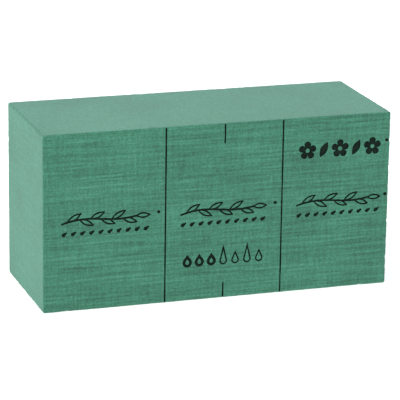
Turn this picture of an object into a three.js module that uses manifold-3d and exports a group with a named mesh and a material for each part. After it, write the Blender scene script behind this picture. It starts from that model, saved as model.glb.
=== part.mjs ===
// Floral foam brick: a block of phenolic foam, scored into thirds on its front face and stamped with small
// plant pictures. Millimetres, +Z up, +X along the block. The origin is the middle of the bottom face and
// the stamped front face looks towards -Y.
//
// The three sections are the pieces that the block is cut into along its score lines. Every score line and
// stamped picture is a recess in the foam with a scorched skin lying in the bottom of it.

import * as THREE from "three";
import { RoundedBoxGeometry } from "three/addons/geometries/RoundedBoxGeometry.js";
import { mergeVertices } from "three/addons/utils/BufferGeometryUtils.js";
import Module from "manifold-3d";

// The block.
const LENGTH = 230;
const DEPTH = 88;
const HEIGHT = 115;
const EDGE_RADIUS = 1;
const EDGE_SEGMENTS = 2;
const FRONT_Y = -DEPTH / 2;

// The stamping roller repeats its pattern once a third, and it met the block a little off centre.
const STAMP_PITCH = 77.5;
const STAMP_SHIFT = 3.1;
const THIRDS = {
  left: STAMP_SHIFT - STAMP_PITCH,
  middle: STAMP_SHIFT,
  right: STAMP_SHIFT + STAMP_PITCH,
};
const SCORE_LINES = {
  left: STAMP_SHIFT - STAMP_PITCH / 2,
  right: STAMP_SHIFT + STAMP_PITCH / 2,
};

// Clearance between neighbouring solids, at the sides of a skin and behind it.
const GAP = 0.3;

// How deep the skins lie under the front face: the scores are cut deeper than the pictures are pressed.
const SCORE_SKIN = { near: 0.8, far: 2.0 };
const PICTURE_SKIN = { near: 0.6, far: 1.2 };

// Score lines and centre ticks. A skin stops short of the block's top and bottom.
const SCORE_WIDTH = 0.8;
const SKIN_END = 1;
const TICK_TOP_LENGTH = 13;
const TICK_BOTTOM_LENGTH = 10.3;

// A leafy sprig in each third, with a round dot to its right.
const SPRIG_WIDTH = 58;
const SPRIG_HEIGHT = 8.9;
const SPRIG_Z = 59.3;
const STEM_STROKE = 1.1;
const SIDE_LEAVES = 6;
const LEAF_ROOTS = { first: 0.06, last: 0.84 };
const LEAF_STROKE = 0.9;
const LEAF_LENGTH = 8.8;
const LEAF_BULGE = 1.45;
const DOT_OFFSET = 34.3;
const DOT_Z = 60.6;
const DOT_RADIUS = 1;
const DOT_TO_END = 2.4;

// A row of seeds under each sprig.
const SEEDS = 10;
const SEED_PITCH = 5.9;
const SEED_Z = 50.9;
const SEED_REACH = new THREE.Vector2(0.9, 0.6);
const SEED_BLUNT = 1.15;
const SEED_SHARP = 0.5;

// A bold row of daisies and leaves, high in the right-hand third.
const BOLD_ROW_Z = 93.15;
const BOLD_PITCH = 11.05;
const BOLD_MOTIFS = ["daisy", "leaf", "daisy", "leaf", "daisy"];
const DAISY_PETALS = 5;
const DAISY_RADIUS = 5.9;
const DAISY_NOTCH = 3;
const DAISY_EYE = 1.5;
const BOLD_LEAF_REACH = new THREE.Vector2(2.2, 4.2);
const BOLD_LEAF_TIP = 0.5;
const BOLD_LEAF_BULGE = 1.9;
const BOLD_DOT_Z = 96.5;

// A row of water drops, low in the middle third: heavy ones at the left, fine ones at the right.
const DROP_PITCH = 8;
const DROP_BASE_Z = 22.3;
const HEAVY_DROP = { count: 3, stroke: 1.7, radius: 2.2, heights: [8.3] };
const FINE_DROP = { count: 4, stroke: 0.8, radius: 2.1, heights: [13.2, 8.6] };

// How finely outlines are drawn.
const CAP_STEPS = 4;
const LEAF_STEPS = 5;
const STEM_STEPS = 14;
const PETAL_STEPS = 8;
const ROUND_STEPS = 10;

const FOAM = { color: 0x2f6450, roughness: 0.95 };
const SCORCHED = { color: 0x0a1612, roughness: 0.9 };

const wasm = await Module();
wasm.setup();

// A closed three.js geometry as a solid that can be joined and cut.
function toSolid(geometry) {
  const bare = geometry.clone();
  bare.deleteAttribute("normal");
  bare.deleteAttribute("uv");
  const merged = mergeVertices(bare);
  return new wasm.Manifold(
    new wasm.Mesh({
      numProp: 3,
      vertProperties: merged.attributes.position.array,
      triVerts: new Uint32Array(merged.index.array),
    }),
  );
}

function toGeometry(solid) {
  const mesh = solid.getMesh();
  const geometry = new THREE.BufferGeometry();
  geometry.setAttribute("position", new THREE.BufferAttribute(mesh.vertProperties, 3));
  geometry.setIndex(new THREE.BufferAttribute(mesh.triVerts, 1));
  geometry.computeVertexNormals();
  return geometry;
}

// A mark is drawn flat, in X and Z, by outlines: functions that give its THREE.Shape grown all round by grow.

// The round-ended outline along a curve, with a half width at each place from 0 to 1 along it.
function strokeOutline(curve, halfWidth, steps) {
  return (grow) => {
    const right = [];
    const left = [];
    for (let i = 0; i <= steps; i += 1) {
      const t = i / steps;
      const middle = curve.getPoint(t);
      const along = curve.getTangent(t);
      const across = new THREE.Vector2(along.y, -along.x).multiplyScalar(halfWidth(t) + grow);
      right.push(middle.clone().add(across));
      left.unshift(middle.clone().sub(across));
    }
    const endCap = capPoints(curve.getPoint(1), curve.getTangent(1), halfWidth(1) + grow);
    const startCap = capPoints(curve.getPoint(0), curve.getTangent(0).negate(), halfWidth(0) + grow);
    return new THREE.Shape([...right, ...endCap, ...left, ...startCap]);
  };
}

// The points between the two corners of a stroke's end, on a half circle that bulges outward.
function capPoints(centre, outward, radius) {
  const points = [];
  const heading = outward.angle();
  for (let i = 1; i < CAP_STEPS; i += 1) {
    const angle = heading - Math.PI / 2 + (Math.PI * i) / CAP_STEPS;
    points.push(new THREE.Vector2(Math.cos(angle), Math.sin(angle)).multiplyScalar(radius).add(centre));
  }
  return points;
}

function straight(x0, z0, x1, z1) {
  return new THREE.LineCurve(new THREE.Vector2(x0, z0), new THREE.Vector2(x1, z1));
}

function line(x0, z0, x1, z1, width) {
  return strokeOutline(straight(x0, z0, x1, z1), () => width / 2, 1);
}

function circlePoints(x, z, radius, from, to, steps) {
  return Array.from({ length: steps + 1 }, (_, i) => {
    const angle = from + ((to - from) * i) / steps;
    return new THREE.Vector2(x + radius * Math.cos(angle), z + radius * Math.sin(angle));
  });
}

// A leaf drawn as a line round an open middle, from its root to its tip.
function leafOutline(root, tip) {
  const curve = new THREE.LineCurve(root, tip);
  const swell = (t) => LEAF_BULGE * Math.sin(Math.PI * t);
  const outer = strokeOutline(curve, (t) => swell(t) + LEAF_STROKE / 2, LEAF_STEPS);
  return (grow) => {
    const shape = outer(grow);
    const inset = LEAF_STROKE / 2 + grow;
    const clear = Math.asin(inset / LEAF_BULGE) / Math.PI;
    const across = curve.getTangent(0).rotateAround(new THREE.Vector2(), Math.PI / 2);
    const edge = (side) =>
      Array.from({ length: LEAF_STEPS + 1 }, (_, i) => {
        const t = clear + ((1 - 2 * clear) * i) / LEAF_STEPS;
        const out = Math.max(swell(t) - inset, 0);
        return curve.getPoint(t).add(across.clone().multiplyScalar(side * out));
      });
    shape.holes.push(new THREE.Path([...edge(1), ...edge(-1).slice(1, -1).reverse()]));
    return shape;
  };
}

// A gently curved stem with leaves to either side and one at its end.
function sprigOutlines(centreX) {
  const start = centreX - (SPRIG_WIDTH - STEM_STROKE) / 2;
  const end = centreX + (SPRIG_WIDTH - STEM_STROKE) / 2;
  const stemEnd = end - LEAF_LENGTH;
  const reach = (SPRIG_HEIGHT - LEAF_STROKE) / 2;
  const stem = new THREE.CubicBezierCurve(
    new THREE.Vector2(start, SPRIG_Z - reach / 2),
    new THREE.Vector2(start + SPRIG_WIDTH / 3, SPRIG_Z + reach),
    new THREE.Vector2(stemEnd - SPRIG_WIDTH / 3, SPRIG_Z - reach),
    new THREE.Vector2(stemEnd, SPRIG_Z),
  );
  const outlines = [strokeOutline(stem, () => STEM_STROKE / 2, STEM_STEPS)];
  for (let i = 0; i < SIDE_LEAVES; i += 1) {
    const share = i / (SIDE_LEAVES - 1);
    const root = stem.getPoint(THREE.MathUtils.lerp(LEAF_ROOTS.first, LEAF_ROOTS.last, share));
    const side = i % 2 ? -1 : 1;
    outlines.push(leafOutline(root, new THREE.Vector2(root.x + LEAF_LENGTH, SPRIG_Z + side * reach)));
  }
  outlines.push(leafOutline(stem.getPoint(1), new THREE.Vector2(end, SPRIG_Z)));
  return outlines;
}

function seedOutlines(x) {
  const { x: dx, y: dz } = SEED_REACH;
  const halfWidth = (t) => SEED_BLUNT + (SEED_SHARP - SEED_BLUNT) * t;
  return [strokeOutline(straight(x - dx, SEED_Z - dz, x + dx, SEED_Z + dz), halfWidth, 1)];
}

// A dot is kept clear of the block's right-hand end.
function dotOutlines(x, z) {
  const held = Math.min(x, LENGTH / 2 - DOT_TO_END);
  const turn = 2 * Math.PI - (2 * Math.PI) / ROUND_STEPS;
  return [(grow) => new THREE.Shape(circlePoints(held, z, DOT_RADIUS + grow, 0, turn, ROUND_STEPS - 1))];
}

// A daisy is one outline of round petals with a narrow notch between each two, round an open eye.
function daisyOutlines(x, z) {
  const steps = DAISY_PETALS * PETAL_STEPS;
  return [
    (grow) => {
      const points = [];
      for (let i = 0; i < steps; i += 1) {
        const turn = (Math.PI * i) / PETAL_STEPS;
        const radius = THREE.MathUtils.lerp(DAISY_NOTCH, DAISY_RADIUS, Math.sqrt(Math.abs(Math.sin(turn))));
        const angle = Math.PI / 2 + (2 * turn - Math.PI) / DAISY_PETALS;
        const out = new THREE.Vector2(Math.cos(angle), Math.sin(angle)).multiplyScalar(radius + grow);
        points.push(out.add(new THREE.Vector2(x, z)));
      }
      const shape = new THREE.Shape(points);
      shape.holes.push(new THREE.Path().absarc(x, z, DAISY_EYE - grow, 0, 2 * Math.PI));
      return shape;
    },
  ];
}

function boldLeafOutlines(x, z) {
  const { x: dx, y: dz } = BOLD_LEAF_REACH;
  const halfWidth = (t) => BOLD_LEAF_TIP + BOLD_LEAF_BULGE * Math.sin(Math.PI * t);
  return [strokeOutline(straight(x - dx, z - dz, x + dx, z + dz), halfWidth, LEAF_STEPS)];
}

// A drop drawn as a line round an open middle: a round belly with two straight sides to its point.
function dropOutlines(x, height, { stroke, radius }) {
  const belly = radius + stroke / 2;
  const z = DROP_BASE_Z + belly;
  const rise = ((height - belly) * radius) / belly;
  const lean = Math.acos(radius / rise);
  const ring = (offset) => {
    const point = new THREE.Vector2(x, z + rise + (rise * offset) / radius);
    const from = Math.PI / 2 + lean;
    const to = from + 2 * (Math.PI - lean);
    return [point, ...circlePoints(x, z, radius + offset, from, to, ROUND_STEPS)];
  };
  return [
    (grow) => {
      const shape = new THREE.Shape(ring(stroke / 2 + grow));
      shape.holes.push(new THREE.Path(ring(-stroke / 2 - grow)));
      return shape;
    },
  ];
}

// The joined outlines as one solid that runs from near to far, both measured inward from the front face.
function press(outlines, grow, near, far) {
  const solids = outlines.map((outline) => {
    const prism = new THREE.ExtrudeGeometry(outline(grow), {
      depth: far - near,
      bevelEnabled: false,
      curveSegments: ROUND_STEPS,
    });
    prism.rotateX(Math.PI / 2);
    prism.translate(0, FRONT_Y + far, 0);
    return toSolid(prism);
  });
  return solids.reduce((joined, solid) => joined.add(solid));
}

// Every mark: a name, its outlines, how deep its skin lies, and the outlines of its recess.
const marks = [];

function addMark(name, outlines, skin = PICTURE_SKIN, recessOutlines = outlines) {
  marks.push({ name, outlines, skin, recessOutlines });
}

// A score's recess runs out through the block's top or bottom edge, and its skin stops short of it.
function addScore(name, x, bottom, top) {
  const skinBottom = Math.max(bottom, SKIN_END) + SCORE_WIDTH / 2;
  const skinTop = Math.min(top, HEIGHT - SKIN_END) - SCORE_WIDTH / 2;
  const skin = [line(x, skinBottom, x, skinTop, SCORE_WIDTH)];
  addMark(name, skin, SCORE_SKIN, [line(x, bottom, x, top, SCORE_WIDTH)]);
}

for (const [side, x] of Object.entries(SCORE_LINES)) {
  addScore(`score_skin_${side}`, x, -SKIN_END, HEIGHT + SKIN_END);
}
addScore("tick_skin_top", STAMP_SHIFT, HEIGHT - TICK_TOP_LENGTH, HEIGHT + SKIN_END);
addScore("tick_skin_bottom", STAMP_SHIFT, -SKIN_END, TICK_BOTTOM_LENGTH);

for (const [side, x] of Object.entries(THIRDS)) {
  addMark(`sprig_skin_${side}`, sprigOutlines(x));
  addMark(`dot_skin_${side}`, dotOutlines(x + DOT_OFFSET, DOT_Z));
  for (let i = 0; i < SEEDS; i += 1) {
    const number = String(i + 1).padStart(2, "0");
    addMark(`seed_skin_${side}_${number}`, seedOutlines(x + (i - (SEEDS - 1) / 2) * SEED_PITCH));
  }
}

BOLD_MOTIFS.forEach((motif, i) => {
  const x = THIRDS.right + (i - (BOLD_MOTIFS.length - 1) / 2) * BOLD_PITCH;
  const draw = motif === "daisy" ? daisyOutlines : boldLeafOutlines;
  addMark(`bold_${motif}_skin_${i + 1}`, draw(x, BOLD_ROW_Z));
});
addMark("bold_dot_skin", dotOutlines(THIRDS.right + DOT_OFFSET, BOLD_DOT_Z));

const DROPS = { heavy: HEAVY_DROP, fine: FINE_DROP };
let dropX = THIRDS.middle - ((HEAVY_DROP.count + FINE_DROP.count - 1) / 2) * DROP_PITCH;
for (const [weight, drop] of Object.entries(DROPS)) {
  for (let i = 0; i < drop.count; i += 1) {
    const height = drop.heights[i % drop.heights.length];
    addMark(`${weight}_drop_skin_${i + 1}`, dropOutlines(dropX, height, drop));
    dropX += DROP_PITCH;
  }
}

const part = new THREE.Group();

function addMesh(name, solid, finish) {
  const mesh = new THREE.Mesh(
    toGeometry(solid),
    new THREE.MeshStandardMaterial({ ...finish, metalness: 0 }),
  );
  mesh.name = name;
  part.add(mesh);
}

// A recess starts this far in front of the face, so that it cuts cleanly through it.
const CUT_START = -1;
const recesses = marks.map(({ skin, recessOutlines }) =>
  press(recessOutlines, GAP, CUT_START, skin.far + GAP),
);
for (const { name, outlines, skin } of marks) {
  addMesh(name, press(outlines, 0, skin.near, skin.far), SCORCHED);
}

// The block, cut through on the score lines and stamped.
const blockGeometry = new RoundedBoxGeometry(LENGTH, DEPTH, HEIGHT, EDGE_SEGMENTS, EDGE_RADIUS);
blockGeometry.translate(0, 0, HEIGHT / 2);
const stampedBlock = recesses.reduce((foam, recess) => foam.subtract(recess), toSolid(blockGeometry));

const SECTIONS = {
  left_section: [-LENGTH, SCORE_LINES.left - GAP / 2],
  middle_section: [SCORE_LINES.left + GAP / 2, SCORE_LINES.right - GAP / 2],
  right_section: [SCORE_LINES.right + GAP / 2, LENGTH],
};
for (const [name, [low, high]] of Object.entries(SECTIONS)) {
  const slab = new THREE.BoxGeometry(high - low, 2 * DEPTH, 2 * HEIGHT);
  slab.translate((low + high) / 2, 0, HEIGHT / 2);
  addMesh(name, stampedBlock.intersect(toSolid(slab)), FOAM);
}

export default part;
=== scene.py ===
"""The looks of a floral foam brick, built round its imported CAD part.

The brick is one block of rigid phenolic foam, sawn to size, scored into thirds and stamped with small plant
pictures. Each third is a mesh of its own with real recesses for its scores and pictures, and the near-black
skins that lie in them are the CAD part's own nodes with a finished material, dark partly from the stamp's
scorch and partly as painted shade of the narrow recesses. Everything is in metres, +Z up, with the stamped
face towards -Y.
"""

import logging
import math
from dataclasses import dataclass, field
from enum import Enum

import bpy
import numpy as np
from mathutils import Matrix, Vector
from mathutils.geometry import delaunay_2d_cdt


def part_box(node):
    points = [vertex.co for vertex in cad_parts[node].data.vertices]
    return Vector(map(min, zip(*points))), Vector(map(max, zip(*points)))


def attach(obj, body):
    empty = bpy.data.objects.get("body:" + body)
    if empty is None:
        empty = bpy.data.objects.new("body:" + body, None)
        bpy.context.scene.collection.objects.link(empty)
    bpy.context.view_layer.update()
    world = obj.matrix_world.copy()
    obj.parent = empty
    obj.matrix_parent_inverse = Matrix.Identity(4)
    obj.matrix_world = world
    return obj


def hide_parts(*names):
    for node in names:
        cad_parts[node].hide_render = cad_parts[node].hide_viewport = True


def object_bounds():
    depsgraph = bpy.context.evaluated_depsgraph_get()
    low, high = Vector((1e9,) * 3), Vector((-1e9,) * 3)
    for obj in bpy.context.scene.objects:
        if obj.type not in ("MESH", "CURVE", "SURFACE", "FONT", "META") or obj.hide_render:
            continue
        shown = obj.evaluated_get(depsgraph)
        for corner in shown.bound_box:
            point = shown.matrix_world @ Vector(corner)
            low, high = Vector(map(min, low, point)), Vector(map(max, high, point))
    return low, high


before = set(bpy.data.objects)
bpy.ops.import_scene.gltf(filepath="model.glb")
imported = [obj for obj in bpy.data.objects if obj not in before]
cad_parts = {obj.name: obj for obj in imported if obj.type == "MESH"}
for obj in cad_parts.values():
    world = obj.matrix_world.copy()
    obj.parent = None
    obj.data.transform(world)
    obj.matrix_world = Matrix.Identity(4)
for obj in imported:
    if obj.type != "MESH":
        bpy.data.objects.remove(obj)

CAD_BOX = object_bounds()
LOG = logging.getLogger("foam_brick")

MM = 0.001
BODY = "root"


# --- Colour and material nodes ---------------------------------------------------------------------------


def linear(colour: str) -> tuple[float, float, float, float]:
    """Turns an sRGB hex colour to the linear one that Blender's sockets take.

    Args:
        colour: the colour as "#rrggbb".

    Returns:
        Linear red, green and blue, and an alpha of 1.
    """
    parts = [int(colour[i : i + 2], 16) / 255 for i in (1, 3, 5)]
    toned = [c / 12.92 if c <= 0.04045 else ((c + 0.055) / 1.055) ** 2.4 for c in parts]
    return (*toned, 1.0)


def add_node(
    tree: bpy.types.NodeTree,
    kind: str,
    inputs: dict[int | str, object] | None = None,
    **settings: object,
) -> bpy.types.Node:
    """Adds one node with its settings and links.

    Args:
        tree: the node tree that the node joins.
        kind: the node's type, such as "ShaderNodeBump".
        inputs: a value, or an output socket to link from, for each input by name or number.
        **settings: the node's own properties.

    Returns:
        The new node.
    """
    node = tree.nodes.new(kind)
    for name, value in settings.items():
        setattr(node, name, value)
    for key, value in (inputs or {}).items():
        if isinstance(value, bpy.types.NodeSocket):
            tree.links.new(value, node.inputs[key])
        else:
            node.inputs[key].default_value = value
    return node


def new_material(name: str) -> tuple[bpy.types.Material, bpy.types.NodeTree, bpy.types.Node]:
    """Makes an empty material.

    Args:
        name: the material's name.

    Returns:
        The material, its node tree and its output node.
    """
    material = bpy.data.materials.new(name)
    material.use_nodes = True
    tree = material.node_tree
    tree.nodes.clear()
    return material, tree, add_node(tree, "ShaderNodeOutputMaterial")


@dataclass(frozen=True)
class Layer:
    """One pattern in a surface: how large it is along X, Y and Z, how far it shifts the tone and how far it
    stands up as relief."""

    size_mm: tuple[float, float, float]
    tone: float
    relief: float = 0.0
    detail: float = 2.0


def add_layers(
    tree: bpy.types.NodeTree, layers: dict[Layer, bpy.types.NodeSocket | None]
) -> tuple[bpy.types.NodeSocket, bpy.types.NodeSocket]:
    """Sums noise patterns into a tone and a relief.

    Args:
        tree: the material's node tree.
        layers: the patterns, each with the share of the surface that shows it, or None for all of it.

    Returns:
        The tone, 0.5 where nothing shifts it, and the relief's height.
    """
    place = add_node(tree, "ShaderNodeTexCoord").outputs["Object"]
    tone: bpy.types.NodeSocket | float = 0.5
    relief: bpy.types.NodeSocket | float = 0.0
    for layer, share in layers.items():
        scale = tuple(1 / (size * MM) for size in layer.size_mm)
        mapped = add_node(tree, "ShaderNodeMapping", {"Vector": place, "Scale": scale})
        inputs = {"Vector": mapped.outputs[0], "Scale": 1.0, "Detail": layer.detail}
        noise = add_node(tree, "ShaderNodeTexNoise", inputs)
        swing = add_node(tree, "ShaderNodeMath", {0: noise.outputs[0], 1: 0.5}, operation="SUBTRACT").outputs[0]
        if share is not None:
            swing = add_node(tree, "ShaderNodeMath", {0: swing, 1: share}, operation="MULTIPLY").outputs[0]
        tone = add_node(
            tree, "ShaderNodeMath", {0: swing, 1: layer.tone, 2: tone}, operation="MULTIPLY_ADD"
        ).outputs[0]
        relief = add_node(
            tree, "ShaderNodeMath", {0: swing, 1: layer.relief, 2: relief}, operation="MULTIPLY_ADD"
        ).outputs[0]
    return tone, relief


@dataclass(frozen=True)
class SawnPhenolicFoam:
    """Rigid phenolic foam, dyed green in the mix and sawn to size.

    The open cells give a dead matt face with a fine grain, and the saw leaves faint lines along the brick on the
    front, back and ends. At a low angle the torn cell walls catch the light as a pale bloom. The open pores are
    sunk in relief and darkened in colour, the darkening being painted shade inside each pore.
    """

    shade: str = "#234a3b"
    body: str = "#35715a"
    bloom: str = "#4b8d74"
    # Real cells are 0.1 to 0.3 mm across, too fine to show, so the grain and pores are drawn coarser.
    grain: Layer = Layer((1.3, 1.3, 1.3), tone=0.9, relief=0.5, detail=3.0)
    saw_lines: Layer = Layer((38.0, 38.0, 1.5), tone=1.1, relief=0.8, detail=3.0)
    saw_chatter: Layer = Layer((1.9, 1.9, 16.0), tone=0.5, relief=0.4)
    mottle: Layer = Layer((45.0, 45.0, 30.0), tone=0.35)
    pore_mm: float = 2.2
    pore_share: float = 0.16
    # How far each pore's colour is darkened: painted shade inside the open pore.
    pore_painted_shade: float = 0.5
    relief_mm: float = 0.25
    roughness: float = 0.92
    sheen: float = 0.25
    sheen_roughness: float = 0.6
    sheen_tint: str = "#dfeff0"

    def material(self) -> bpy.types.Material:
        """Makes the foam's material, with each face's own finish chosen by which way it looks."""
        material, tree, output = new_material("sawn_phenolic_foam")
        facing = add_node(tree, "ShaderNodeTexCoord").outputs["Normal"]
        axes = add_node(tree, "ShaderNodeSeparateXYZ", {0: facing})
        upright = add_node(tree, "ShaderNodeMath", {0: axes.outputs["Z"]}, operation="ABSOLUTE").outputs[0]
        sawn = add_node(tree, "ShaderNodeMath", {0: 1.0, 1: upright}, operation="SUBTRACT").outputs[0]
        endways = add_node(tree, "ShaderNodeMath", {0: axes.outputs["X"]}, operation="ABSOLUTE").outputs[0]
        along = add_node(tree, "ShaderNodeMath", {0: endways, 1: -0.6, 2: sawn}, operation="MULTIPLY_ADD").outputs[0]
        layers = {self.grain: None, self.saw_lines: along, self.saw_chatter: along, self.mottle: None}
        tone, relief = add_layers(tree, layers)
        pores = self.pores(tree)
        # Darkens the colour in each pore: painted shade inside the open pores.
        tone = add_node(tree, "ShaderNodeMath", {0: pores, 1: -self.pore_painted_shade, 2: tone}, operation="MULTIPLY_ADD")
        relief = add_node(tree, "ShaderNodeMath", {0: relief, 1: pores}, operation="SUBTRACT")
        ramp = add_node(tree, "ShaderNodeValToRGB", {0: tone.outputs[0]})
        ramp.color_ramp.elements[0].color = linear(self.shade)
        ramp.color_ramp.elements[1].color = linear(self.bloom)
        ramp.color_ramp.elements.new(0.5).color = linear(self.body)
        bump = add_node(
            tree, "ShaderNodeBump", {"Height": relief.outputs[0], "Distance": self.relief_mm * MM, "Strength": 1.0}
        )
        surface = {
            "Base Color": ramp.outputs[0],
            "Roughness": self.roughness,
            "Diffuse Roughness": 1.0,
            "Specular IOR Level": 0.15,
            "Sheen Weight": self.sheen,
            "Sheen Roughness": self.sheen_roughness,
            "Sheen Tint": linear(self.sheen_tint),
            "Normal": bump.outputs[0],
        }
        shader = add_node(tree, "ShaderNodeBsdfPrincipled", surface)
        tree.links.new(shader.outputs[0], output.inputs["Surface"])
        return material

    def pores(self, tree: bpy.types.NodeTree) -> bpy.types.NodeSocket:
        """Adds scattered open pores, 1 in the middle of a pore and 0 away from it; it sinks the relief and darkens
        the colour as painted shade.
        """
        place = add_node(tree, "ShaderNodeTexCoord").outputs["Object"]
        cells = add_node(tree, "ShaderNodeTexVoronoi", {"Vector": place, "Scale": 1 / (self.pore_mm * MM)})
        inputs = {"Value": cells.outputs["Distance"], "From Max": self.pore_share, "To Min": 1.0, "To Max": 0.0}
        return add_node(tree, "ShaderNodeMapRange", inputs).outputs[0]


@dataclass(frozen=True)
class ScorchAndGrooveShade:
    """Foam crushed and scorched by the hot stamp, lying in the stamped recesses.

    The cells have collapsed to a dull near-black skin, with a little green left where it is thinnest. That
    near-black is partly the scorch's own colour and partly painted shade of the narrow recesses it lies in.
    """

    # The near-black end is partly the scorch's own colour and partly painted shade of the narrow recesses.
    char_and_shade: str = "#04090a"
    ash: str = "#16261f"
    crumbs: Layer = Layer((0.9, 0.9, 0.9), tone=1.6, relief=1.0, detail=3.0)
    patches: Layer = Layer((4.5, 4.5, 4.5), tone=0.8)
    relief_mm: float = 0.2
    roughness: float = 0.9

    def material(self) -> bpy.types.Material:
        """Makes the near-black material of the skins, part scorch and part painted shade."""
        material, tree, output = new_material("scorched_foam")
        tone, relief = add_layers(tree, {self.crumbs: None, self.patches: None})
        ramp = add_node(tree, "ShaderNodeValToRGB", {0: tone})
        ramp.color_ramp.elements[0].color = linear(self.char_and_shade)
        ramp.color_ramp.elements[1].color = linear(self.ash)
        bump = add_node(
            tree, "ShaderNodeBump", {"Height": relief, "Distance": self.relief_mm * MM, "Strength": 1.0}
        )
        surface = {
            "Base Color": ramp.outputs[0],
            "Roughness": self.roughness,
            "Specular IOR Level": 0.1,
            "Normal": bump.outputs[0],
        }
        shader = add_node(tree, "ShaderNodeBsdfPrincipled", surface)
        tree.links.new(shader.outputs[0], output.inputs["Surface"])
        return material


@dataclass(frozen=True)
class StudioPaper:
    """White seamless paper, lit from below as on a light table, so that only a faint shadow is left."""

    sheet: str = "#f6f6f5"
    roughness: float = 0.8
    glow: float = 0.45

    def material(self) -> bpy.types.Material:
        """Makes the paper's material."""
        material, tree, output = new_material("studio_paper")
        surface = {
            "Base Color": linear(self.sheet),
            "Roughness": self.roughness,
            "Emission Color": linear(self.sheet),
            "Emission Strength": self.glow,
        }
        shader = add_node(tree, "ShaderNodeBsdfPrincipled", surface)
        tree.links.new(shader.outputs[0], output.inputs["Surface"])
        return material


# --- The block's surface ---------------------------------------------------------------------------------


def border_loops(faces: list[list[int]]) -> list[list[int]]:
    """Follows the border of a patch of faces.

    Args:
        faces: each face's corners in order.

    Returns:
        Closed loops of corners, running the way the faces run.
    """
    edges = {(a, b) for face in faces for a, b in zip(face, face[1:] + face[:1])}
    following = dict(edge for edge in edges if edge[::-1] not in edges)
    loops = []
    while following:
        start, step = following.popitem()
        loop = [start]
        while step != start:
            loop.append(step)
            step = following.pop(step)
        loops.append(loop)
    return loops


class SpaceNoise:
    """Smooth noise from -1 to 1 over space, the same on every run."""

    TABLE = 8192
    PRIMES = np.array([73856093, 19349663, 83492791], dtype=np.int64)

    def __init__(self, seed: int) -> None:
        """Fills the table that the noise is drawn from.

        Args:
            seed: what tells one noise from another.
        """
        self.values = np.random.default_rng(seed).uniform(-1, 1, self.TABLE)

    def at(self, points: np.ndarray, size_mm: tuple[float, float, float]) -> np.ndarray:
        """Reads the noise.

        Args:
            points: places in millimetres, one row each.
            size_mm: how large the noise's blots are along X, Y and Z.

        Returns:
            One value for each place.
        """
        scaled = points / np.array(size_mm)
        corner = np.floor(scaled).astype(np.int64)
        share = scaled - corner
        share = share * share * (3 - 2 * share)
        total = np.zeros(len(points))
        for step in np.ndindex(2, 2, 2):
            slots = ((corner + np.array(step)) * self.PRIMES).sum(1) % self.TABLE
            weights = np.where(np.array(step) == 1, share, 1 - share).prod(1)
            total += self.values[slots] * weights
        return total


@dataclass(frozen=True)
class Dent:
    """A small hollow knocked or torn out of the foam."""

    centre: tuple[float, float, float]
    radius: float
    depth: float


@dataclass
class BlockSurface:
    """The outside of the whole block: its rounded, crumbling edges, its saw lines and its dents.

    All three sections are shaped by the same surface, so they meet without a seam. Millimetres.
    """

    low: np.ndarray
    high: np.ndarray
    edge_radius: float = 0.9
    crumble: float = 0.16
    crumble_reach: float = 1.1
    wave: float = 0.08
    saw_ridge: float = 0.035
    face_pits: int = 260
    edge_nicks: int = 110
    seed: int = 7
    dents: list[Dent] = field(default_factory=list)

    def __post_init__(self) -> None:
        """Draws the noises, and scatters pits over the faces and nicks along the edges."""
        self.crumbs = SpaceNoise(self.seed)
        self.waves = SpaceNoise(self.seed + 1)
        self.ridges = SpaceNoise(self.seed + 2)
        chance = np.random.default_rng(self.seed + 3)
        for count, fixed, radii, depths in (
            (self.face_pits, 1, (0.7, 1.5), (0.10, 0.28)),
            (self.edge_nicks, 2, (0.9, 2.6), (0.15, 0.55)),
        ):
            for _ in range(count):
                centre = chance.uniform(self.low, self.high)
                held = chance.permutation(3)[:fixed]
                side = chance.integers(0, 2, 3)
                centre[held] = np.where(side == 1, self.high, self.low)[held]
                depth = chance.uniform(*depths) * chance.uniform(0.4, 1.0)
                self.dents.append(Dent(tuple(centre), chance.uniform(*radii), depth))

    def shape(self, points: np.ndarray) -> np.ndarray:
        """Turns places on a sharp-edged box to places on the worn block.

        Args:
            points: places on the box's faces, one row each.

        Returns:
            The same points on the block's real surface.
        """
        radius = self.edge_radius
        core = np.clip(points, self.low + radius, self.high - radius)
        out = points - core
        length = np.linalg.norm(out, axis=1, keepdims=True)
        normal = np.divide(out, length, out=np.zeros_like(out), where=length > 1e-9)
        rounded = np.where(length > 1e-9, core + normal * radius, points)
        return rounded - normal * self.sunk(rounded)[:, None]

    def sunk(self, points: np.ndarray) -> np.ndarray:
        """How far the surface lies inside the smooth block.

        Args:
            points: places on the smooth block.

        Returns:
            A depth for each place.
        """
        inward = np.sort(np.minimum(points - self.low, self.high - points), axis=1)
        to_edge = np.maximum(inward[:, 1], 0)
        near_edge = np.exp(-to_edge / self.crumble_reach)
        crumbs = self.crumbs.at(points, (1.7, 1.7, 1.7)) + 0.8 * self.crumbs.at(points + 91.3, (6.0, 6.0, 6.0))
        depth = self.crumble * near_edge * (1.0 + crumbs)
        depth += self.wave * (1 + self.waves.at(points, (26.0, 26.0, 26.0))) / 2
        depth += self.saw_ridge * (1 + self.ridges.at(points, (45.0, 45.0, 1.9))) / 2
        for dent in self.dents:
            near = np.linalg.norm(points - np.array(dent.centre), axis=1) / dent.radius
            inside = near < 1
            depth[inside] += dent.depth * (1 - near[inside] ** 2) ** 2
        return np.maximum(depth, 0)


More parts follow.
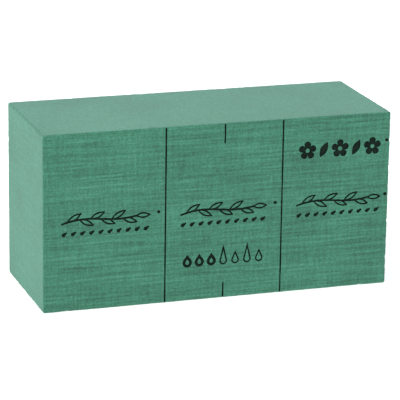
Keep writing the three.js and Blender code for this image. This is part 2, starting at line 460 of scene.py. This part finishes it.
@dataclass(frozen=True)
class Recess:
    """A flat-bottomed recess in the front face: closed outlines in X and Z, and its depth, in millimetres."""

    loops: tuple[np.ndarray, ...]
    depth: float

    def holds(self, places: np.ndarray) -> np.ndarray:
        """Says which places lie inside the recess.

        Args:
            places: X and Z, one row each.

        Returns:
            True for each place inside an odd number of the outlines.
        """
        inside = np.zeros(len(places), bool)
        every = np.vstack(self.loops)
        near = ((places >= every.min(0)) & (places <= every.max(0))).all(1)
        x, z = places[near].T
        odd = np.zeros(len(x), bool)
        for loop in self.loops:
            for (x0, z0), (x1, z1) in zip(loop, np.roll(loop, -1, axis=0)):
                if z0 == z1:
                    continue
                crosses = (z0 > z) != (z1 > z)
                odd ^= crosses & (x < x0 + (z - z0) * (x1 - x0) / (z1 - z0))
        inside[near] = odd
        return inside


@dataclass
class Stamping:
    """The recesses that the near-black skins lie in, read from the skins themselves. The skins' black is partly
    scorch and partly painted shade.
    """

    clearance: float = 0.1
    behind: float = 0.05
    raggedness: float = 0.07
    step: float = 0.45
    to_edge: float = 0.45
    seed: int = 31

    def __post_init__(self) -> None:
        """Draws the noise that makes the outlines ragged."""
        self.ragged = SpaceNoise(self.seed)
        self.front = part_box("middle_section")[0].y / MM

    def depth(self, node: str) -> float:
        """How deep a recess is: just past the back of its skin."""
        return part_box(node)[1].y / MM - self.front + self.behind

    def outlines(self, node: str) -> list[np.ndarray]:
        """Reads the outlines of a skin's front face.

        Args:
            node: the skin's CAD node.

        Returns:
            Closed loops of X and Z, each with the skin on its left.
        """
        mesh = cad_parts[node].data
        places = np.array([v.co for v in mesh.vertices]) / MM
        _, first, same = np.unique(np.round(places, 3), axis=0, return_index=True, return_inverse=True)
        same = same.reshape(-1)
        faces = [[int(same[v]) for v in f.vertices] for f in mesh.polygons if f.normal.y < -0.9]
        return [places[first][loop][:, [0, 2]] for loop in border_loops(faces)]

    def torn(self, loop: np.ndarray) -> np.ndarray:
        """Widens an outline by the clearance and roughens it.

        Args:
            loop: a closed loop with the skin on its left.

        Returns:
            The recess's own loop, with more points.
        """
        ends = np.roll(loop, -1, axis=0)
        spans = np.linalg.norm(ends - loop, axis=1)
        points = []
        for start, end, span in zip(loop, ends, spans):
            count = max(1, round(span / self.step))
            points.extend(start + (end - start) * i / count for i in range(count))
        fine = np.array(points)
        along = np.roll(fine, -1, axis=0) - np.roll(fine, 1, axis=0)
        along /= np.maximum(np.linalg.norm(along, axis=1, keepdims=True), 1e-9)
        outward = np.column_stack([along[:, 1], -along[:, 0]])
        flat = np.column_stack([fine[:, 0], np.zeros(len(fine)), fine[:, 1]])
        noise = self.ragged.at(flat, (0.9, 0.9, 0.9))
        return fine + outward * (self.clearance + self.raggedness * noise)[:, None]

    def picture(self, node: str) -> Recess:
        """Makes the recess of a stamped picture."""
        return Recess(tuple(self.torn(loop) for loop in self.outlines(node)), self.depth(node))

    def score(self, node: str, low_x: float, high_x: float) -> Recess:
        """Makes the part of a score line or tick that lies between two places across the brick.

        Args:
            node: the score's near-black skin, part scorch and part painted shade.
            low_x: the section's lower end.
            high_x: the section's upper end.

        Returns:
            The recess, cut off flat where it passes out of the section.
        """
        low, high = (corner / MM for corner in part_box(node))
        foot, head = CAD_BOX[0][2] / MM + self.to_edge, CAD_BOX[1][2] / MM - self.to_edge
        bottom = foot if low.z < foot + 2 else low.z
        top = head if high.z > head - 2 else high.z
        heights = np.linspace(bottom, top, max(2, round((top - bottom) / self.step)))
        sides = []
        for x, outward in ((low.x, -1), (high.x, 1)):
            edge = np.column_stack([np.full(len(heights), x), np.zeros(len(heights)), heights])
            noise = self.ragged.at(edge, (1.0, 1.0, 1.0)) + 0.7 * self.ragged.at(edge, (7.0, 7.0, 7.0))
            reach = x + outward * (self.clearance + self.raggedness * noise)
            sides.append(np.column_stack([np.clip(reach, low_x, high_x), heights]))
        left, right = sides
        return Recess((np.vstack([right, left[::-1]]),), self.depth(node))


# --- The three sections ----------------------------------------------------------------------------------


class Face(Enum):
    """A side of the block, by its fixed axis, which end of it, and the two axes across it."""

    BACK = (1, 1, 2, 0)
    TOP = (2, 1, 0, 1)
    BOTTOM = (2, 0, 1, 0)
    LEFT_END = (0, 0, 2, 1)
    RIGHT_END = (0, 1, 1, 2)


@dataclass
class MeshParts:
    """Corners and faces of a mesh while it is put together, in millimetres on the sharp-edged box."""

    corners: list[np.ndarray] = field(default_factory=list)
    faces: list[tuple[int, ...]] = field(default_factory=list)
    scorch_and_shade: list[bool] = field(default_factory=list)
    count: int = 0

    def add(self, corners: np.ndarray, faces: list[tuple[int, ...]], scorch_and_shade: bool | list[bool] = False) -> None:
        """Adds a patch.

        Args:
            corners: the patch's corners, one row each.
            faces: each face's corners, counted within the patch.
            scorch_and_shade: whether the faces take the near-black scorch and painted shade, or one answer for each
                face.
        """
        self.corners.append(corners)
        self.faces.extend(tuple(i + self.count for i in face) for face in faces)
        self.scorch_and_shade.extend(scorch_and_shade if isinstance(scorch_and_shade, list) else [scorch_and_shade] * len(faces))
        self.count += len(corners)

    def weld(self) -> np.ndarray:
        """Joins corners that share a place, and returns them."""
        places, same = np.unique(np.round(np.vstack(self.corners), 3), axis=0, return_inverse=True)
        same = same.reshape(-1)
        self.faces = [tuple(int(same[i]) for i in face) for face in self.faces]
        self.corners = [places]
        self.count = len(places)
        return places


def grid_lines(low: float, high: float, step: float, fine_low: bool, fine_high: bool) -> np.ndarray:
    """Spaces lines over a length, closer together at a rounded edge.

    Args:
        low: where the lines start.
        high: where they end.
        step: the space between two lines.
        fine_low: whether the low end is a rounded edge.
        fine_high: whether the high end is one.

    Returns:
        The lines' places.
    """
    edge = np.array([0.0, 0.25, 0.55, 0.9])
    start = low + (edge[-1] if fine_low else 0)
    end = high - (edge[-1] if fine_high else 0)
    middle = np.linspace(start, end, round((end - start) / step) + 1)
    starts = low + edge[:-1] if fine_low else []
    ends = high - edge[:-1][::-1] if fine_high else []
    return np.round(np.concatenate([starts, middle, ends]), 3)


@dataclass
class FoamSection:
    """One third of the brick, between two score lines or between a score line and an end."""

    node: str
    low_x: float
    high_x: float
    surface: BlockSurface
    recesses: list[Recess]
    step: float = 0.8
    clear_of_outline: float = 0.3
    floor_roughness: float = 0.12

    def lines(self, axis: int) -> np.ndarray:
        """The grid lines across one axis."""
        low, high = self.surface.low[axis], self.surface.high[axis]
        if axis:
            return grid_lines(low, high, self.step, True, True)
        return grid_lines(self.low_x, self.high_x, self.step, self.low_x == low, self.high_x == high)

    def plain_face(self, face: Face) -> tuple[np.ndarray, list[tuple[int, ...]]]:
        """Makes a face with nothing cut in it.

        Args:
            face: which side of the block.

        Returns:
            Its corners and its four-sided faces.
        """
        fixed, end, across, up = face.value
        u, v = self.lines(across), self.lines(up)
        corners = np.empty((len(u) * len(v), 3))
        corners[:, fixed] = (self.surface.low, self.surface.high)[end][fixed]
        corners[:, across] = np.repeat(u, len(v))
        corners[:, up] = np.tile(v, len(u))
        rows = len(v)
        faces = [
            (i * rows + j, (i + 1) * rows + j, (i + 1) * rows + j + 1, i * rows + j + 1)
            for i in range(len(u) - 1)
            for j in range(rows - 1)
        ]
        return corners, faces

    def front_face(self) -> tuple[np.ndarray, list[tuple[int, ...]], list[bool]]:
        """Makes the stamped face, with a floor and walls in each recess.

        Returns:
            Its corners, its faces and whether each face takes the near-black scorch and painted shade.
        """
        x, z = self.lines(0), self.lines(2)
        grid = np.array([(a, b) for a in x for b in z])
        rim = (grid[:, 0] == x[0]) | (grid[:, 0] == x[-1]) | (grid[:, 1] == z[0]) | (grid[:, 1] == z[-1])
        points, edges = [], []
        for recess in self.recesses:
            for loop in recess.loops:
                first = sum(len(p) for p in points)
                points.append(loop)
                edges.extend((first + i, first + (i + 1) % len(loop)) for i in range(len(loop)))
                away = np.full(len(grid), np.inf)
                near = ((grid > loop.min(0) - 1) & (grid < loop.max(0) + 1)).all(1)
                gaps = grid[near][:, None] - loop[None]
                away[near] = np.linalg.norm(gaps, axis=2).min(1)
                keep = rim | (away > self.clear_of_outline)
                grid, rim = grid[keep], rim[keep]
        points.append(grid)
        every = [Vector(p) for p in np.vstack(points)]
        flat, _, triangles, *_ = delaunay_2d_cdt(every, edges, [], 0, 1e-5)
        return self.sunken(np.round(np.array([tuple(p) for p in flat]), 3), [tuple(t) for t in triangles])

    def sunken(
        self, places: np.ndarray, triangles: list[tuple[int, ...]]
    ) -> tuple[np.ndarray, list[tuple[int, ...]], list[bool]]:
        """Sinks the triangles inside each recess and walls them in.

        Args:
            places: X and Z of the corners.
            triangles: the flat face's triangles.

        Returns:
            Corners, faces and whether each face takes the near-black scorch and painted shade.
        """
        front = self.surface.low[1]
        corners = [(x, front, z) for x, z in places]
        centres = places[np.array(triangles)].mean(1)
        region = np.full(len(triangles), -1)
        for number, recess in enumerate(self.recesses):
            region[recess.holds(centres)] = number
        floor_of: dict[tuple[int, int], int] = {}

        def floor(corner: int, number: int) -> int:
            """The corner's twin on the floor of a recess."""
            if (corner, number) not in floor_of:
                floor_of[corner, number] = len(corners)
                x, z = places[corner]
                corners.append((x, front + self.recesses[number].depth, z))
            return floor_of[corner, number]

        faces, scorch_and_shade = [], []
        border: dict[tuple[int, int], int] = {}
        for triangle, number in zip(triangles, region):
            for a, b in zip(triangle, triangle[1:] + triangle[:1]):
                border[a, b] = number
            # Recess floors take the near-black material, part scorch and part painted shade.
            sunk = number >= 0
            faces.append(tuple(floor(c, number) for c in triangle) if sunk else triangle)
            scorch_and_shade.append(bool(sunk))
        # The recess walls take the near-black material: painted shade on the walls of each narrow recess, with some
        # scorch.
        for (a, b), number in border.items():
            other = border.get((b, a), number)
            if number < 0 <= other:
                faces.append((b, a, floor(a, other), floor(b, other)))
                scorch_and_shade.append(True)
        return np.array(corners), faces, scorch_and_shade

    def cut_face(self, parts: MeshParts, corners: np.ndarray, x: float) -> None:
        """Closes the section where it meets its neighbour, with a flat face.

        Args:
            parts: the welded mesh so far.
            corners: its corners.
            x: where the cut is.
        """
        loops = border_loops([list(face) for face in parts.faces])
        (loop,) = [loop for loop in loops if (corners[loop][:, 0] == x).all()]
        rim = corners[loop][:, 1:]
        inner = self.surface.low[1:] + 3, self.surface.high[1:] - 3
        spread = [np.linspace(lo, hi, round((hi - lo) / 4)) for lo, hi in zip(*inner)]
        inside = np.array([(y, z) for y in spread[0] for z in spread[1]])
        edges = [(i, (i + 1) % len(rim)) for i in range(len(rim))]
        every = [Vector(p) for p in np.vstack([rim, inside])]
        flat, _, triangles, *_ = delaunay_2d_cdt(every, edges, [], 1, 1e-5)
        places = np.array([(x, *p) for p in flat])
        turned = x == self.low_x
        parts.add(places, [tuple(t)[::-1] if turned else tuple(t) for t in triangles])

    def build(self) -> bpy.types.Object:
        """Makes the section's mesh and links it into the scene.

        Returns:
            The section, which stands for its CAD node.
        """
        parts = MeshParts()
        parts.add(*self.front_face())
        faces = [Face.BACK, Face.TOP, Face.BOTTOM]
        low, high = self.surface.low, self.surface.high
        ends = {Face.LEFT_END: self.low_x == low[0], Face.RIGHT_END: self.high_x == high[0]}
        for face in faces + [end for end, real in ends.items() if real]:
            parts.add(*self.plain_face(face))
        corners = parts.weld()
        for x, real in ((self.low_x, ends[Face.LEFT_END]), (self.high_x, ends[Face.RIGHT_END])):
            if not real:
                self.cut_face(parts, corners, x)
                corners = parts.weld()
        mesh = bpy.data.meshes.new(self.node + "_foam")
        mesh.from_pydata(self.placed(corners) * MM, [], parts.faces)
        mesh.polygons.foreach_set("material_index", np.array(parts.scorch_and_shade, dtype=np.int32))
        mesh.shade_smooth()
        mesh.set_sharp_from_angle(angle=math.radians(50))
        mesh.validate()
        piece = bpy.data.objects.new(self.node + "_foam", mesh)
        bpy.context.scene.collection.objects.link(piece)
        return piece

    def placed(self, corners: np.ndarray) -> np.ndarray:
        """Moves corners from the sharp-edged box to the worn block.

        Args:
            corners: places on the box, on recess floors and on the flat cuts.

        Returns:
            Where they really lie, in millimetres.
        """
        low, high = self.surface.low, self.surface.high
        outside = ((corners == low) | (corners == high)).any(1)
        placed = corners.copy()
        placed[outside] = self.surface.shape(corners[outside])
        sunk = ~outside & (corners[:, 0] != self.low_x) & (corners[:, 0] != self.high_x)
        placed[sunk, 1] -= self.floor_roughness * (1 + self.surface.crumbs.at(corners[sunk], (0.9, 0.9, 0.9))) / 2
        return placed

    def dress(self, piece: bpy.types.Object, foam: bpy.types.Material, scorch_and_shade: bpy.types.Material) -> None:
        """Gives the section its materials and its place in the part.

        Args:
            piece: the section's object.
            foam: the sawn foam.
            scorch_and_shade: the near-black material on recess walls, part scorch and part painted shade.
        """
        piece.data.materials.append(foam)
        piece.data.materials.append(scorch_and_shade)
        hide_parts(self.node)
        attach(piece, BODY)
        LOG.info("%s: %d corners, %d faces", piece.name, len(piece.data.vertices), len(piece.data.polygons))


@dataclass
class FoamBrick:
    """The whole brick: three foam sections and the near-black skins in their scores and pictures, part scorch and
    part painted shade.
    """

    foam: SawnPhenolicFoam = field(default_factory=SawnPhenolicFoam)
    scorch_and_shade: ScorchAndGrooveShade = field(default_factory=ScorchAndGrooveShade)
    stamping: Stamping = field(default_factory=Stamping)
    sections: tuple[str, ...] = ("left_section", "middle_section", "right_section")
    score_words: tuple[str, ...] = ("score", "tick")

    def cuts(self) -> list[float]:
        """Where the sections start and end along the brick, in millimetres."""
        scores = sorted(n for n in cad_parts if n.startswith("score"))
        middles = sorted((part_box(n)[0].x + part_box(n)[1].x) / 2 / MM for n in scores)
        return [round(x, 3) for x in (CAD_BOX[0][0] / MM, *middles, CAD_BOX[1][0] / MM)]

    def skins(self) -> list[str]:
        """The CAD nodes that are the near-black skins, part scorch and part painted shade."""
        return sorted(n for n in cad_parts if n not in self.sections)

    def recesses(self, low_x: float, high_x: float) -> list[Recess]:
        """Makes the recesses between two places along the brick.

        Args:
            low_x: the section's lower end.
            high_x: the section's upper end.

        Returns:
            The recesses that lie in the section, or partly in it.
        """
        found = []
        for node in self.skins():
            low, high = (corner.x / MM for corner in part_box(node))
            if high < low_x or low > high_x:
                continue
            if node.startswith(self.score_words):
                found.append(self.stamping.score(node, low_x, high_x))
            else:
                found.append(self.stamping.picture(node))
        return found

    def build(self) -> None:
        """Builds and dresses every piece of the brick."""
        low, high = (np.round(np.array(corner) / MM, 3) for corner in CAD_BOX)
        surface = BlockSurface(low, high)
        foam, scorch_and_shade = self.foam.material(), self.scorch_and_shade.material()
        cuts = self.cuts()
        for node, low_x, high_x in zip(self.sections, cuts, cuts[1:]):
            section = FoamSection(node, low_x, high_x, surface, self.recesses(low_x, high_x))
            section.dress(section.build(), foam, scorch_and_shade)
        # The skins take the near-black material: part scorch, part painted shade in the recesses.
        for node in self.skins():
            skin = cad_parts[node]
            skin.data.materials.clear()
            skin.data.materials.append(scorch_and_shade)
        LOG.info("%d scorched skins", len(self.skins()))


# --- The studio ------------------------------------------------------------------------------------------


@dataclass(frozen=True)
class SoftBox:
    """A large soft lamp that looks at the brick."""

    name: str
    place: tuple[float, float, float]
    width: float
    height: float
    power: float
    colour: str = "#ffffff"

    def hang(self, target: Vector) -> None:
        """Hangs the lamp and turns it to a point.

        Args:
            target: what the lamp looks at.
        """
        lamp = bpy.data.lights.new(self.name, "AREA")
        lamp.shape = "RECTANGLE"
        lamp.size, lamp.size_y = self.width, self.height
        lamp.energy = self.power
        lamp.color = linear(self.colour)[:3]
        holder = bpy.data.objects.new(self.name, lamp)
        bpy.context.scene.collection.objects.link(holder)
        holder.location = self.place
        holder.rotation_euler = (target - Vector(self.place)).to_track_quat("-Z", "Y").to_euler()


@dataclass
class Studio:
    """The pale floor, the soft lamps and the camera."""

    floor_reach: float = 30.0
    paper: StudioPaper = field(default_factory=StudioPaper)
    sky: str = "#ffffff"
    sky_strength: float = 0.5
    lamps: tuple[SoftBox, ...] = (
        SoftBox("left_softbox", (-1.6, -0.5, 0.9), 1.2, 1.2, 30.0),
        SoftBox("front_softbox", (0.7, -2.2, 0.8), 1.6, 1.2, 30.0),
        SoftBox("top_softbox", (0.0, 0.4, 1.8), 1.6, 1.2, 10.0, "#dfe9ff"),
    )
    azimuth: float = -18.516
    elevation: float = 16.296
    roll: float = 0.855
    distance: float = 1.6055
    look_at: tuple[float, float, float] = (0.0017, 0.0, 0.0526)
    lens: float = 222.93

    def lay_floor(self) -> None:
        """Lays the floor."""
        reach = self.floor_reach
        mesh = bpy.data.meshes.new("floor")
        corners = [(-reach, -reach, 0), (reach, -reach, 0), (reach, reach, 0), (-reach, reach, 0)]
        mesh.from_pydata(corners, [], [(0, 1, 2, 3)])
        floor = bpy.data.objects.new("floor", mesh)
        bpy.context.scene.collection.objects.link(floor)
        mesh.materials.append(self.paper.material())
        floor.location.z = CAD_BOX[0][2]

    def light(self) -> None:
        """Hangs the lamps and fills the room with soft light."""
        for lamp in self.lamps:
            lamp.hang(Vector((0, 0, (CAD_BOX[0][2] + CAD_BOX[1][2]) / 2)))
        world = bpy.data.worlds.new("room")
        world.use_nodes = True
        room = world.node_tree.nodes["Background"]
        room.inputs["Color"].default_value = linear(self.sky)
        room.inputs["Strength"].default_value = self.sky_strength
        bpy.context.scene.world = world
        bpy.context.scene.view_settings.view_transform = "Standard"

    def set_camera(self) -> None:
        """Places the camera by its angles about the point that it looks at."""
        turn, tip = math.radians(self.azimuth), math.radians(self.elevation)
        back = Vector((math.sin(turn) * math.cos(tip), -math.cos(turn) * math.cos(tip), math.sin(tip)))
        right = Vector((math.cos(turn), math.sin(turn), 0))
        up = back.cross(right)
        stance = Matrix((right, up, back)).transposed() @ Matrix.Rotation(math.radians(self.roll), 3, "Z")
        lens = bpy.data.cameras.new("camera")
        lens.lens = self.lens
        camera = bpy.data.objects.new("camera", lens)
        bpy.context.scene.collection.objects.link(camera)
        camera.matrix_world = Matrix.Translation(Vector(self.look_at) + back * self.distance) @ stance.to_4x4()
        bpy.context.scene.camera = camera


def main() -> None:
    """Builds the studio and the brick."""
    logging.basicConfig(level=logging.INFO, format="%(name)s: %(message)s")
    studio = Studio()
    studio.set_camera()
    studio.lay_floor()
    studio.light()
    FoamBrick().build()


if __name__ == "__main__":
    main()
